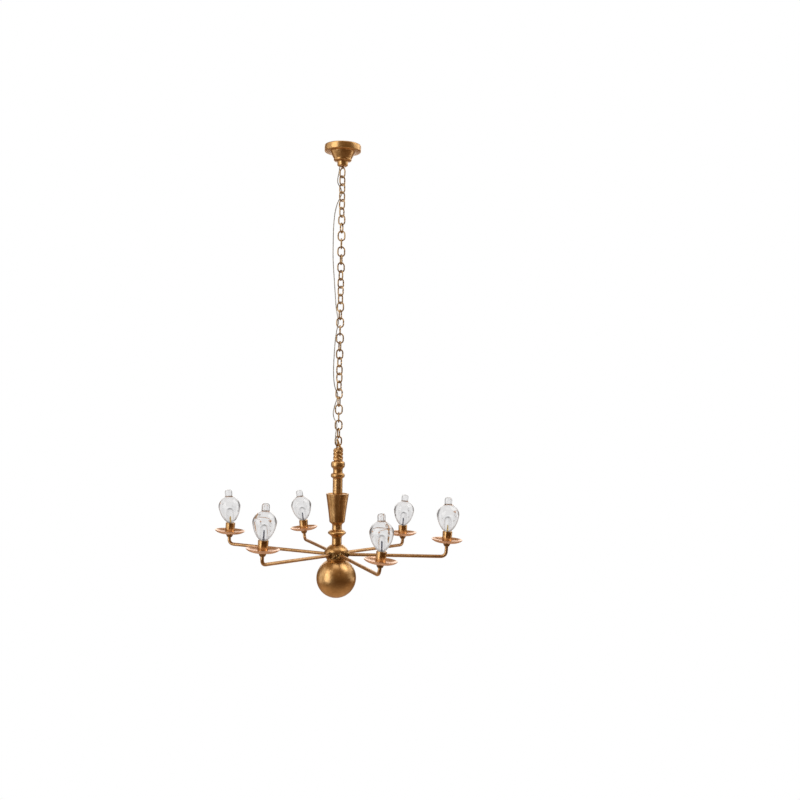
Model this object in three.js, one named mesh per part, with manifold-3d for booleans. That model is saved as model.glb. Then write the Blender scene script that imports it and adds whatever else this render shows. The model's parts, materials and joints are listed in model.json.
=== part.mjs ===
// Miniature chandelier for a 1:12 dolls' house: a canopy, a chain of open links, a turned stem
// with a ball below it, and six bent arms that each carry a pan, a socket and a clear globe.
// Millimetres, +Z up. The origin is the centre of the canopy's flat top, which is glued to a ceiling.

import * as THREE from 'three';
import { mergeVertices } from 'three/addons/utils/BufferGeometryUtils.js';
import Module from 'manifold-3d';

const wasm = await Module();
wasm.setup();

// ---- Driving dimensions ----------------------------------------------------------------------

const TOUCH = 0.05; // clearance left between two pieces that rest on or hang from each other

// Chain. A link is a ring of round wire with straight sides and round ends.
const LINK_COUNT = 34;
const LINK_WIRE = 0.22; // radius of the wire
const LINK_END = 1.0; // radius of the round ends, to the middle of the wire
const LINK_PITCH = 2.355; // from one link's middle to the next
const LINK_HALF = (LINK_PITCH + 2 * LINK_WIRE + TOUCH) / 2; // from its middle to the end bar's middle
const EYE_Z = -8.21; // middle of the canopy's eye, which is shaped like a link
const FIRST_YAW = -45; // degrees; the eye's own turn about the chain
const QUARTER_TURN = 90; // degrees from each link to the next
const TWIST = 8.33; // degrees that each link adds to its quarter turn, from TWIST_FROM on
const TWIST_FROM = 4;

// Canopy
const BRIM_RADIUS = 5.45;
const BRIM_HEIGHT = 2.0;
const CANOPY_CONE = { topRadius: 3.72, bottomRadius: 2.6, bottomZ: -4.65 };
const COLLAR = { radius: 1.6, tipRadius: 1.15, shoulderZ: -6.0, bottomZ: -6.35 };
const EYE_SHANK = { radius: 0.3, topZ: -5.2, clearance: 0.1 };
const WIRE_BORE = { radius: 0.22, x: -0.88 };

// Feed wire
const FEED_WIRE = 0.14; // radius
const FEED_STEPS = 64;

// Stem
const STEM_WIRE = 0.3; // radius of the wire that the stem's eye is bent from
const STEM_EYE = 0.95; // radius of the eye, to the middle of its wire
const LASHING = { radius: 1.47, topZ: -90.1, bottomZ: -94.19, spigotRadius: 0.7, spigotLength: 1.2 };
const SPIGOT_CLEARANCE = 0.07;
const COLUMN = { topZ: -94.24, neckRadius: 1.43, radius: 1.48, beadRadius: 2.09, bottomZ: -104.2 };
const COLUMN_TENON = { radius: 1.0, length: 1.5 };
const VASE = { topZ: -103.96, rim: 3.42, rimWall: 0.5, recessZ: -104.25, foot: 2.29, footZ: -112.2 };
const KNOP = { topZ: -114.27, radius: 2.72, middleZ: -115.62, bottomZ: -116.67 };
const SHAFT = { neckRadius: 1.47, neckZ: -112.93, radius: 1.45, bottomZ: -119.15 };
const SHAFT_TENON = { radius: 0.9, length: 1.2 };

// Hub and ball
const HUB_TOP_Z = -119.2;
const HUB_FLARE = [[1.9, 0], [2.5, 0.4], [3.1, 1.1], [3.42, 1.8], [3.44, 2.8], [3.12, 3.95], [2.9, 4.5]];
const BALL = { radius: 5.91, middleZ: -129.09, studRadius: 0.7, studTopZ: -122.1 };
const SEAT = { radius: 2.84, steps: 5 };

// Arms, pans and globes
const ARM_WIRE = 0.5; // radius
const ARM_Z = -122.0; // where the arms leave the hub
const ARM_START = 2.45; // how far from the middle an arm begins, inside its hole
const ARM_HOLE = { radius: 0.6, start: 2.25, end: 3.9 };
const ELBOW_BEND = 1.7; // how far from the corner the bend begins
const PAN_Z = -117.55; // height of a pan's rim
const PAN = { radius: 4.56, wall: 0.14, floor: 0.86, depth: 1.16 };
const PAN_COLLAR = { topRadius: 1.15, tipRadius: 0.72, length: 2.1, hole: 0.6, holeTop: 0.5 };
const SOCKET = { radius: 1.43, height: 2.3, bore: 1.1, boreDepth: 1.1 };
const GLOBE_SPIGOT = { radius: 0.75, length: 0.6 };
const GLOBE_FOOT = 1.2;
const GLOBE_BODY = [[1.98, 0.95], [2.62, 2.1], [3.02, 3.3], [3.27, 4.5], [3.22, 5.35], [2.8, 6.3], [2.05, 7.25]];
const GLOBE_KNOB = { radius: 1.13, neckZ: 7.8, shoulderZ: 9.05, topZ: 9.85 };

// Every arm was bent and set by hand, so no two stand alike. Angles are in degrees and lengths in
// millimetres. rise is how much higher an arm's end stands than the others'. The leans are about
// +Y, and positive when the top goes towards +X.
const ARMS = [
  { azimuth: -70, reach: 34.2, rise: -0.7, leg: 4.15, panLean: 5.5, globeLean: -1.3 },
  { azimuth: -12.5, reach: 33.0, rise: 1.27, leg: 5.13, panLean: 2.8, globeLean: 0.8 },
  { azimuth: 50.6, reach: 33.9, rise: -1.4, leg: 4.15, panLean: 0, globeLean: 3.9 },
  { azimuth: 108.8, reach: 34.1, rise: -0.7, leg: 4.15, panLean: -4.9, globeLean: -9.2 },
  { azimuth: 164.8, reach: 33.8, rise: 1.3, leg: 4.2, panLean: 3.6, globeLean: -5 },
  { azimuth: 234.3, reach: 33.8, rise: 1.37, leg: 4.42, panLean: 2.9, globeLean: 3.2 },
];

// Where the feed wire runs. It leaves the canopy through its bore, goes down the left of the
// chain, passes through a link here and there so that the chain carries it, and ends in the stem.
const FEED_ROUTE = [
  [-0.88, 0, -0.4], [-0.88, 0, -2.4], [-0.88, 0, -4.4], [-0.88, 0, -6.4], [-1.05, -0.25, -8.2],
  [-1.35, -0.6, -10], [-1.28, -0.58, -11.5], [-0.35, 0.35, -12.9], [-0.1, 1.05, -14.1],
  [-0.75, 1.35, -15.7], [-1.5, 1.0, -17.6], [-2.1, 0.5, -20.5], [-2.4, 0.25, -24.5],
  [-2.45, 0.15, -29], [-2.4, 0.3, -34], [-2.0, 0.7, -39.5], [-1.6, 1.1, -44.5],
  [-1.25, 1.35, -48.5], [-0.75, 1.1, -51.2], [-0.49, 0.08, -52.95], [-0.85, -1.0, -54.7],
  [-1.3, -1.1, -57.5], [-1.6, -0.85, -62], [-1.75, -0.7, -66.5], [-1.6, -0.8, -70.2],
  [-1.15, -0.6, -72.6], [-0.44, 0.2, -74.15], [-0.6, 1.05, -75.7], [-1.25, 1.15, -77.8],
  [-1.65, 1.05, -80], [-1.35, 1.2, -81.6], [-0.75, 0.85, -82.7], [-0.49, -0.07, -83.6],
  [-0.65, -0.9, -84.8], [-0.85, -1.15, -86.5], [-0.75, -1.15, -88.3], [-0.58, -0.92, -89.5],
  [-0.55, -0.85, -90.4],
];
const FEED_SOCKET = { x: -0.55, y: -0.85, radius: 0.24, depth: 0.6 };

// Facets around each kind of piece
const SIDES = { link: 6, linkSteps: 14, wire: 8, arm: 6, turned: 24, ball: 24, pan: 18, globe: 14, hole: 10 };

// ---- Materials -------------------------------------------------------------------------------

const finish = (color, roughness, metalness) => new THREE.MeshStandardMaterial({ color, roughness, metalness });
const antiqueBrass = () => finish(0xa9752c, 0.42, 1);
const chainBrass = () => finish(0xb58a4c, 0.38, 1);
const tinnedWire = () => finish(0x8f8b80, 0.45, 1);
const clearAcrylic = () => new THREE.MeshStandardMaterial({
  color: 0xf2f4f6, roughness: 0.06, metalness: 0, transparent: true, opacity: 0.35,
});

// ---- Shape helpers ---------------------------------------------------------------------------

const radians = THREE.MathUtils.degToRad;

// A path that steps from each of its points to the next, so a straight run takes one step.
class StationPath extends THREE.Curve {
  constructor(points) {
    super();
    this.points = points;
  }

  getPoint(t) {
    const last = this.points.length - 1;
    const station = Math.min(Math.floor(t * last + 1e-9), last - 1);
    return this.points[station].clone().lerp(this.points[station + 1], t * last - station);
  }

  getPointAt(u) {
    return this.getPoint(u);
  }

  getTangentAt(u) {
    const last = this.points.length - 1;
    const station = Math.round(u * last);
    const before = this.points[Math.max(station - 1, 0)];
    const after = this.points[Math.min(station + 1, last)];
    return after.clone().sub(before).normalize();
  }
}

// A round rod of one thickness along a list of points.
function rod(points, radius, sides) {
  const section = new THREE.Shape(new THREE.EllipseCurve(0, 0, radius, radius).getPoints(sides).slice(0, -1));
  const path = new StationPath(points);
  return new THREE.ExtrudeGeometry(section, { steps: points.length - 1, extrudePath: path, bevelEnabled: false });
}

// A turned piece about Z. The outline is [radius, z] points from the lower axis point to the upper.
function turned(outline, sides) {
  const points = outline.map(([radius, z]) => new THREE.Vector2(radius, z));
  return new THREE.LatheGeometry(points, sides).rotateX(Math.PI / 2);
}

// Points along a circle about a point of the axis, from one angle above the XY plane to another.
function arcOutline(radius, middleZ, fromAngle, toAngle, steps) {
  return Array.from({ length: steps + 1 }, (_, k) => {
    const angle = fromAngle + ((toAngle - fromAngle) * k) / steps;
    return [radius * Math.cos(angle), middleZ + radius * Math.sin(angle)];
  });
}

// A closed ring of wire that stands in the XZ plane: a torus with its halves drawn apart along Z.
function wireRing(halfLength, endRadius, wireRadius) {
  const ring = new THREE.TorusGeometry(endRadius, wireRadius, SIDES.link, SIDES.linkSteps);
  ring.rotateZ(Math.PI / SIDES.linkSteps).rotateX(Math.PI / 2);
  const position = ring.attributes.position;
  for (let k = 0; k < position.count; k += 1) {
    position.setZ(k, position.getZ(k) + Math.sign(position.getZ(k)) * (halfLength - endRadius));
  }
  return ring;
}

function bareGeometry(geometry) {
  geometry.deleteAttribute('normal');
  geometry.deleteAttribute('uv');
  return mergeVertices(geometry, 1e-5);
}

function toSolid(geometry) {
  const bare = bareGeometry(geometry);
  const vertProperties = new Float32Array(bare.attributes.position.array);
  const triVerts = new Uint32Array(bare.index.array);
  return new wasm.Manifold(new wasm.Mesh({ numProp: 3, vertProperties, triVerts }));
}

function toGeometry(solid) {
  const mesh = solid.getMesh();
  const geometry = new THREE.BufferGeometry();
  geometry.setAttribute('position', new THREE.BufferAttribute(mesh.vertProperties, 3));
  geometry.setIndex(new THREE.BufferAttribute(mesh.triVerts, 1));
  return geometry;
}

// A straight round bar between two points, used as a bore when it is taken away.
function bar(from, to, radius) {
  return toSolid(rod([from, to], radius, SIDES.hole));
}

const onAxis = (z) => new THREE.Vector3(0, 0, z);

function place(parent, name, geometry, material, position = onAxis(0)) {
  const mesh = new THREE.Mesh(geometry, material);
  mesh.name = name;
  mesh.position.copy(position);
  parent.add(mesh);
  return mesh;
}

// ---- Canopy and chain ------------------------------------------------------------------------

function canopy() {
  const edge = 0.12;
  const body = toSolid(turned([
    [0, COLLAR.bottomZ],
    [COLLAR.tipRadius, COLLAR.bottomZ],
    [COLLAR.radius, COLLAR.shoulderZ],
    [COLLAR.radius, CANOPY_CONE.bottomZ],
    [CANOPY_CONE.bottomRadius, CANOPY_CONE.bottomZ],
    [CANOPY_CONE.topRadius, -BRIM_HEIGHT],
    [BRIM_RADIUS - edge, -BRIM_HEIGHT],
    [BRIM_RADIUS, -BRIM_HEIGHT + edge],
    [BRIM_RADIUS, -edge],
    [BRIM_RADIUS - edge, 0],
    [0, 0],
  ], SIDES.turned));
  const below = COLLAR.bottomZ - 1;
  const shankHole = bar(onAxis(below), onAxis(EYE_SHANK.topZ + TOUCH), EYE_SHANK.radius + EYE_SHANK.clearance);
  const wireHole = bar(
    new THREE.Vector3(WIRE_BORE.x, 0, below),
    new THREE.Vector3(WIRE_BORE.x, 0, 1),
    WIRE_BORE.radius,
  );
  return toGeometry(body.subtract(shankHole).subtract(wireHole));
}

function canopyEye() {
  const ring = toSolid(wireRing(LINK_HALF, LINK_END, LINK_WIRE));
  const shank = bar(onAxis(LINK_HALF), onAxis(EYE_SHANK.topZ - EYE_Z), EYE_SHANK.radius);
  return toGeometry(ring.add(shank));
}

const linkYaw = (index) => FIRST_YAW + QUARTER_TURN * index + TWIST * Math.max(0, index - TWIST_FROM);
const linkZ = (index) => EYE_Z - LINK_PITCH * index;

function addChain(parent) {
  place(parent, 'canopy_eye', canopyEye(), chainBrass(), onAxis(EYE_Z)).rotation.z = radians(FIRST_YAW);
  for (let index = 1; index <= LINK_COUNT; index += 1) {
    const name = `chain_link_${String(index).padStart(2, '0')}`;
    const link = place(parent, name, wireRing(LINK_HALF, LINK_END, LINK_WIRE), chainBrass(), onAxis(linkZ(index)));
    link.rotation.z = radians(linkYaw(index));
  }
}

function feedWire() {
  const route = new THREE.CatmullRomCurve3(FEED_ROUTE.map((point) => new THREE.Vector3(...point)));
  return rod(route.getSpacedPoints(FEED_STEPS), FEED_WIRE, SIDES.wire);
}

// ---- Stem ------------------------------------------------------------------------------------

// The eye hangs on the last link's lower bar, and its own turn carries on the chain's.
const stemEyeZ = () => linkZ(LINK_COUNT) - LINK_HALF + LINK_WIRE + STEM_WIRE + TOUCH - STEM_EYE;

function stemEye() {
  const ring = wireRing(STEM_EYE, STEM_EYE, STEM_WIRE).rotateZ(radians(linkYaw(LINK_COUNT + 1)));
  const shoulder = 0.3;
  const lashing = turned([
    [0, LASHING.bottomZ - LASHING.spigotLength],
    [LASHING.spigotRadius, LASHING.bottomZ - LASHING.spigotLength],
    [LASHING.spigotRadius, LASHING.bottomZ],
    [LASHING.radius, LASHING.bottomZ],
    [LASHING.radius, LASHING.topZ - shoulder],
    [LASHING.radius - shoulder, LASHING.topZ],
    [0, LASHING.topZ],
  ], SIDES.pan);
  const wireEnd = new THREE.Vector3(FEED_SOCKET.x, FEED_SOCKET.y, LASHING.topZ - FEED_SOCKET.depth);
  const hole = bar(wireEnd, wireEnd.clone().setZ(LASHING.topZ + 0.2), FEED_SOCKET.radius);
  return toGeometry(toSolid(ring.translate(0, 0, stemEyeZ())).add(toSolid(lashing)).subtract(hole));
}

function stemColumn() {
  const socketZ = COLUMN.topZ - LASHING.spigotLength - SPIGOT_CLEARANCE;
  const socket = LASHING.spigotRadius + SPIGOT_CLEARANCE;
  const bead = COLUMN.beadRadius;
  return turned([
    [0, COLUMN.bottomZ - COLUMN_TENON.length],
    [COLUMN_TENON.radius, COLUMN.bottomZ - COLUMN_TENON.length],
    [COLUMN_TENON.radius, COLUMN.bottomZ],
    [COLUMN.radius, COLUMN.bottomZ],
    [COLUMN.radius, -99.3],
    [1.85, -99.1],
    [bead, -98.55],
    [1.8, -97.95],
    [COLUMN.neckRadius, -97.75],
    [COLUMN.neckRadius, -96.45],
    [1.8, -96.25],
    [bead, -95.75],
    [bead, -94.85],
    [1.75, -94.35],
    [1.5, COLUMN.topZ],
    [socket, COLUMN.topZ],
    [socket, socketZ],
    [0, socketZ],
  ], SIDES.pan);
}

function baluster() {
  const socket = COLUMN_TENON.radius + SPIGOT_CLEARANCE;
  const socketZ = COLUMN.bottomZ - COLUMN_TENON.length - SPIGOT_CLEARANCE;
  return turned([
    [0, SHAFT.bottomZ - SHAFT_TENON.length],
    [SHAFT_TENON.radius, SHAFT.bottomZ - SHAFT_TENON.length],
    [SHAFT_TENON.radius, SHAFT.bottomZ],
    [SHAFT.radius, SHAFT.bottomZ],
    [SHAFT.radius, KNOP.bottomZ],
    [1.62, KNOP.bottomZ + 0.15],
    [KNOP.radius, KNOP.middleZ - 0.12],
    [KNOP.radius, KNOP.middleZ + 0.12],
    [1.6, KNOP.topZ],
    [SHAFT.neckRadius, KNOP.topZ + 0.1],
    [SHAFT.neckRadius, SHAFT.neckZ],
    [VASE.foot, VASE.footZ],
    [VASE.rim, VASE.topZ - 0.15],
    [VASE.rim - 0.1, VASE.topZ],
    [VASE.rim - VASE.rimWall, VASE.topZ],
    [VASE.rim - VASE.rimWall, VASE.recessZ],
    [socket, VASE.recessZ],
    [socket, socketZ],
    [0, socketZ],
  ], SIDES.turned);
}

// ---- Hub and ball ----------------------------------------------------------------------------

function armDirection(arm) {
  const angle = radians(arm.azimuth);
  return new THREE.Vector3(Math.cos(angle), Math.sin(angle), 0);
}

function hub() {
  const seat = BALL.radius + TOUCH;
  const studHole = BALL.studRadius + SPIGOT_CLEARANCE;
  const tenonHole = SHAFT_TENON.radius + SPIGOT_CLEARANCE;
  const tenonHoleZ = SHAFT.bottomZ - SHAFT_TENON.length - SPIGOT_CLEARANCE;
  const body = turned([
    [0, BALL.studTopZ + TOUCH],
    [studHole, BALL.studTopZ + TOUCH],
    ...arcOutline(seat, BALL.middleZ, Math.acos(studHole / seat), Math.acos(SEAT.radius / seat), SEAT.steps),
    ...HUB_FLARE.map(([radius, drop]) => [radius, HUB_TOP_Z - drop]).reverse(),
    [tenonHole, HUB_TOP_Z],
    [tenonHole, tenonHoleZ],
    [0, tenonHoleZ],
  ], SIDES.turned);
  return toGeometry(ARMS.reduce((solid, arm) => {
    const out = armDirection(arm);
    const start = out.clone().multiplyScalar(ARM_HOLE.start).setZ(ARM_Z);
    const end = out.clone().multiplyScalar(ARM_HOLE.end).setZ(ARM_Z);
    return solid.subtract(bar(start, end, ARM_HOLE.radius));
  }, toSolid(body)));
}

function ball() {
  const studFoot = Math.acos(BALL.studRadius / BALL.radius);
  return turned([
    [0, BALL.middleZ - BALL.radius],
    ...arcOutline(BALL.radius, BALL.middleZ, -Math.PI / 2, studFoot, SIDES.ball / 2).slice(1),
    [BALL.studRadius, BALL.studTopZ],
    [0, BALL.studTopZ],
  ], SIDES.ball);
}

// ---- Arms, pans and globes -------------------------------------------------------------------

const leanDirection = (degrees) => new THREE.Vector3(Math.sin(radians(degrees)), 0, Math.cos(radians(degrees)));

const panMiddle = (arm) => armDirection(arm).multiplyScalar(arm.reach).setZ(PAN_Z + arm.rise);

// Straight out of the hub, along to the elbow, round it, and up into the pan's collar.
function armRod(arm) {
  const bendSteps = 5;
  const up = leanDirection(arm.panLean);
  const out = armDirection(arm);
  const start = out.clone().multiplyScalar(ARM_START).setZ(ARM_Z);
  const mouth = out.clone().multiplyScalar(ARM_HOLE.end).setZ(ARM_Z);
  const corner = panMiddle(arm).addScaledVector(up, -arm.leg / up.z);
  const along = mouth.clone().sub(corner).normalize();
  const bend = new THREE.QuadraticBezierCurve3(
    corner.clone().addScaledVector(along, ELBOW_BEND),
    corner,
    corner.clone().addScaledVector(up, ELBOW_BEND),
  );
  const end = panMiddle(arm).addScaledVector(up, -PAN_COLLAR.holeTop - TOUCH);
  return rod([start, mouth, ...bend.getPoints(bendSteps), end], ARM_WIRE, SIDES.arm);
}

// The pan, its tapered collar below and the candle socket above, in one turned piece whose origin
// is the middle of the rim.
function candleCup() {
  const rim = PAN.radius;
  return turned([
    [0, -PAN_COLLAR.holeTop],
    [PAN_COLLAR.hole, -PAN_COLLAR.holeTop],
    [PAN_COLLAR.hole, -PAN_COLLAR.length],
    [PAN_COLLAR.tipRadius, -PAN_COLLAR.length],
    [PAN_COLLAR.topRadius, -PAN.depth - 0.05],
    [0.52 * rim, -PAN.depth + 0.06],
    [0.79 * rim, -0.7 * PAN.depth],
    [0.95 * rim, -0.34 * PAN.depth],
    [rim, -0.07],
    [rim - 0.03, 0],
    [rim - PAN.wall, 0],
    [0.93 * rim, -0.2],
    [0.77 * rim, -0.6],
    [0.5 * rim, -PAN.floor + 0.03],
    [SOCKET.radius, -PAN.floor],
    [SOCKET.radius, SOCKET.height],
    [SOCKET.bore, SOCKET.height],
    [SOCKET.bore, SOCKET.height - SOCKET.boreDepth],
    [0, SOCKET.height - SOCKET.boreDepth],
  ], SIDES.pan);
}

// The origin is the middle of the foot, which stands on the socket's lip.
function globe() {
  return turned([
    [0, -GLOBE_SPIGOT.length],
    [GLOBE_SPIGOT.radius, -GLOBE_SPIGOT.length],
    [GLOBE_SPIGOT.radius, 0],
    [GLOBE_FOOT, 0],
    ...GLOBE_BODY,
    [GLOBE_KNOB.radius, GLOBE_KNOB.neckZ],
    [GLOBE_KNOB.radius, GLOBE_KNOB.shoulderZ],
    [0.7 * GLOBE_KNOB.radius, GLOBE_KNOB.topZ - 0.2],
    [0, GLOBE_KNOB.topZ],
  ], SIDES.globe);
}

function addArm(parent, arm, number) {
  place(parent, `arm_${number}`, armRod(arm), antiqueBrass());
  const middle = panMiddle(arm);
  place(parent, `candle_cup_${number}`, candleCup(), antiqueBrass(), middle).rotation.y = radians(arm.panLean);
  // A globe that leans more than its socket stands a little higher, so that its foot clears the lip.
  const tilt = radians(Math.abs(arm.globeLean - arm.panLean));
  const footHeight = SOCKET.height + TOUCH + GLOBE_FOOT * Math.sin(tilt);
  const foot = middle.clone().addScaledVector(leanDirection(arm.panLean), footHeight);
  place(parent, `globe_${number}`, globe(), clearAcrylic(), foot).rotation.y = radians(arm.globeLean);
}

// ---- Assembly --------------------------------------------------------------------------------

const chandelier = new THREE.Group();
place(chandelier, 'canopy', canopy(), antiqueBrass());
addChain(chandelier);
place(chandelier, 'feed_wire', feedWire(), tinnedWire());
place(chandelier, 'stem_eye', stemEye(), antiqueBrass());
place(chandelier, 'stem_column', stemColumn(), antiqueBrass());
place(chandelier, 'baluster', baluster(), antiqueBrass());
place(chandelier, 'arm_hub', hub(), antiqueBrass());
place(chandelier, 'ball_finial', ball(), antiqueBrass());
ARMS.forEach((arm, index) => addArm(chandelier, arm, index + 1));

export default chandelier;
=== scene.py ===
"""Looks for the miniature chandelier: brass, chain, feed wire and clear globes around the fixed CAD frame.

Shapes are drawn in millimetres and turned into metres by MM as each mesh is made. What repeats is placed
from the frame: a link by its CAD box and its joint's axis, a pan or globe by the axis of its CAD node.
"""
import json
import math
import random

import bmesh
import bpy
import numpy as np
from mathutils import Matrix, Vector, noise

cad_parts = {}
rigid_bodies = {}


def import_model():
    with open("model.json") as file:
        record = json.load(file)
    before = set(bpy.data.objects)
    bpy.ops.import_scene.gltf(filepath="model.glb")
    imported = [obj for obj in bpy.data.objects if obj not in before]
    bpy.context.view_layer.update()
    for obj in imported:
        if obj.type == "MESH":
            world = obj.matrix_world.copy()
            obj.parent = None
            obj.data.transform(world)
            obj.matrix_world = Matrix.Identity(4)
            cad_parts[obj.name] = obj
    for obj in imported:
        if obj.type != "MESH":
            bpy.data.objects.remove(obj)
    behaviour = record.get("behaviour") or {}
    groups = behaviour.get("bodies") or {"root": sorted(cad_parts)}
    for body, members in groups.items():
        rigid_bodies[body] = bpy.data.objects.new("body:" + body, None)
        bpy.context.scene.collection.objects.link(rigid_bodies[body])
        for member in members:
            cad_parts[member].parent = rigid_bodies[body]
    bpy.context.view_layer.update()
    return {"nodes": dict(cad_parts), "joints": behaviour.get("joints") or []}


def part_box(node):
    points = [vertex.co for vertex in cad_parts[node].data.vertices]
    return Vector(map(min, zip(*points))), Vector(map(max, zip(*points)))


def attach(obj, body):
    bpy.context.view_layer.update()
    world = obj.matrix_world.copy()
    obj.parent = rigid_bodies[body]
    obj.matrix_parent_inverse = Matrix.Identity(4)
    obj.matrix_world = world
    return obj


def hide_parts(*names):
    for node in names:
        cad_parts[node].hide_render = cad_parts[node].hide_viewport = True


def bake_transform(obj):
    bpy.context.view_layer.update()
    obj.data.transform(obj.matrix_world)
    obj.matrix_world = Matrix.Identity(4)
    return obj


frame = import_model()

MM = 0.001
Z_AXIS = Vector((0, 0, 1))

# ---- Camera -----------------------------------------------------------------------------------

EYE = Vector((0, -280 * MM, -76.4 * MM))
YAW, PITCH, ROLL = math.radians(3.73), math.radians(0.13), math.radians(0.88)
LENS, SENSOR = 42.12, 36  # millimetres


def add_camera():
    data = bpy.data.cameras.new("camera")
    data.lens = LENS
    data.sensor_width = SENSOR
    data.clip_start = 0.01
    camera = bpy.data.objects.new("camera", data)
    bpy.context.scene.collection.objects.link(camera)
    ahead = Vector((math.sin(YAW) * math.cos(PITCH), math.cos(YAW) * math.cos(PITCH), math.sin(PITCH)))
    level_right = ahead.cross(Z_AXIS).normalized()
    level_up = level_right.cross(ahead)
    right = math.cos(ROLL) * level_right + math.sin(ROLL) * level_up
    up = right.cross(ahead)
    turn = Matrix((right, up, -ahead)).transposed()
    camera.matrix_world = Matrix.Translation(EYE) @ turn.to_4x4()
    bpy.context.scene.camera = camera


# ---- Shader helpers ---------------------------------------------------------------------------


class Nodes:
    """A node tree, with short ways to add the few kinds of node used here."""

    MIX_SOCKETS = {"FLOAT": (2, 3, 0), "RGBA": (6, 7, 2)}  # a Mix node's two inputs and its output

    def __init__(self, tree):
        self.tree = tree

    def add(self, kind, **settings):
        node = self.tree.nodes.new(kind)
        for key, value in settings.items():
            setattr(node, key, value)
        return node

    def feed(self, socket, value):
        """Links the socket to another one, or sets it to a constant."""
        if isinstance(value, bpy.types.NodeSocket):
            self.tree.links.new(value, socket)
        else:
            socket.default_value = value

    def math(self, operation, *values, clamp=False):
        node = self.add("ShaderNodeMath", operation=operation, use_clamp=clamp)
        for socket, value in zip(node.inputs, values):
            self.feed(socket, value)
        return node.outputs[0]

    def plus(self, a, b):
        return self.math("ADD", a, b)

    def minus(self, a, b, clamp=False):
        return self.math("SUBTRACT", a, b, clamp=clamp)

    def times(self, a, b, clamp=False):
        return self.math("MULTIPLY", a, b, clamp=clamp)

    def over(self, a, b, clamp=False):
        return self.math("DIVIDE", a, b, clamp=clamp)

    def mix(self, factor, a, b, kind="RGBA"):
        """A colour, or with the kind FLOAT a number, that goes from a to b as the factor goes from 0 to 1."""
        node = self.add("ShaderNodeMix", data_type=kind)
        first, second, result = self.MIX_SOCKETS[kind]
        for index, value in ((0, factor), (first, a), (second, b)):
            self.feed(node.inputs[index], value)
        return node.outputs[result]

    def parts(self, vector):
        """The X, Y and Z of a vector."""
        node = self.add("ShaderNodeSeparateXYZ")
        self.feed(node.inputs[0], vector)
        return tuple(node.outputs)


class Shader(Nodes):
    """A material with one Principled shader, and noise that is measured in millimetres."""

    def __init__(self, name):
        self.material = bpy.data.materials.new(name)
        self.material.use_nodes = True
        super().__init__(self.material.node_tree)
        self.millimetres = self.scaled(self.add("ShaderNodeTexCoord").outputs["Object"], (1 / MM,) * 3)

    def scaled(self, vector, factors):
        node = self.add("ShaderNodeVectorMath", operation="MULTIPLY")
        self.feed(node.inputs[0], vector)
        self.feed(node.inputs[1], factors)
        return node.outputs["Vector"]

    def noise(self, scale, detail=3.0, stretch=(1, 1, 1)):
        """Noise with features of about 1 / scale millimetres, drawn out along the axes of small stretch."""
        node = self.add("ShaderNodeTexNoise")
        self.feed(node.inputs["Vector"], self.scaled(self.millimetres, stretch))
        node.inputs["Scale"].default_value = scale
        node.inputs["Detail"].default_value = detail
        node.inputs["Roughness"].default_value = 0.55
        return node.outputs["Fac"]

    def ramp(self, factor, low, high):
        """0 at low and 1 at high, and smooth between them."""
        node = self.add("ShaderNodeMapRange", interpolation_type="SMOOTHSTEP")
        self.feed(node.inputs["Value"], factor)
        node.inputs["From Min"].default_value = low
        node.inputs["From Max"].default_value = high
        return node.outputs["Result"]

    def between(self, factor, low, high):
        """A number that goes from low to high as the factor goes from 0 to 1."""
        return self.plus(self.times(factor, high - low), low)

    def pointiness(self, low, high):
        """A ramp over how far the surface points outwards: 0.5 is flat, more is an edge, less is a hollow."""
        return self.ramp(self.add("ShaderNodeNewGeometry").outputs["Pointiness"], low, high)

    def bump(self, height, distance):
        node = self.add("ShaderNodeBump")
        node.inputs["Strength"].default_value = 1.0
        node.inputs["Distance"].default_value = distance * MM
        self.feed(node.inputs["Height"], height)
        return node.outputs["Normal"]

    def finish(self, **values):
        """Sets the Principled shader's inputs, and gives the material back."""
        principled = self.tree.nodes["Principled BSDF"]
        for name, value in values.items():
            self.feed(principled.inputs[name.replace("_", " ")], value)
        return self.material


def rgb(red, green, blue):
    return (red, green, blue, 1.0)


# ---- Materials --------------------------------------------------------------------------------

GRAIN_TURNED = (0.3, 0.3, 4.0)  # fine rings round a piece turned about Z
GRAIN_BRUSHED = (1.0, 1.0, 0.2)  # upright scratches
GRAIN_HAMMERED = (1.0, 1.0, 0.7)
GRAIN_FLAT = (2.0, 2.0, 0.5)

# The colours of a brass: its own, where it is tarnished, and where it is worn bright.
GILT = ((0.68, 0.43, 0.19), (0.4, 0.215, 0.07), (0.92, 0.7, 0.42))
ARM_GILT = ((0.62, 0.39, 0.19), (0.42, 0.24, 0.1), (0.75, 0.52, 0.28))
# A darker copy of the gilt for the collars: painted shade, for the shadow that the pan casts on the collar
# under it.
PAINTED_SHADE_GILT = ((0.34, 0.2, 0.085), (0.16, 0.085, 0.03), (0.6, 0.4, 0.2))
COPPERY = ((0.89, 0.63, 0.48), (0.66, 0.41, 0.27), (0.92, 0.68, 0.53))


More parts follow.
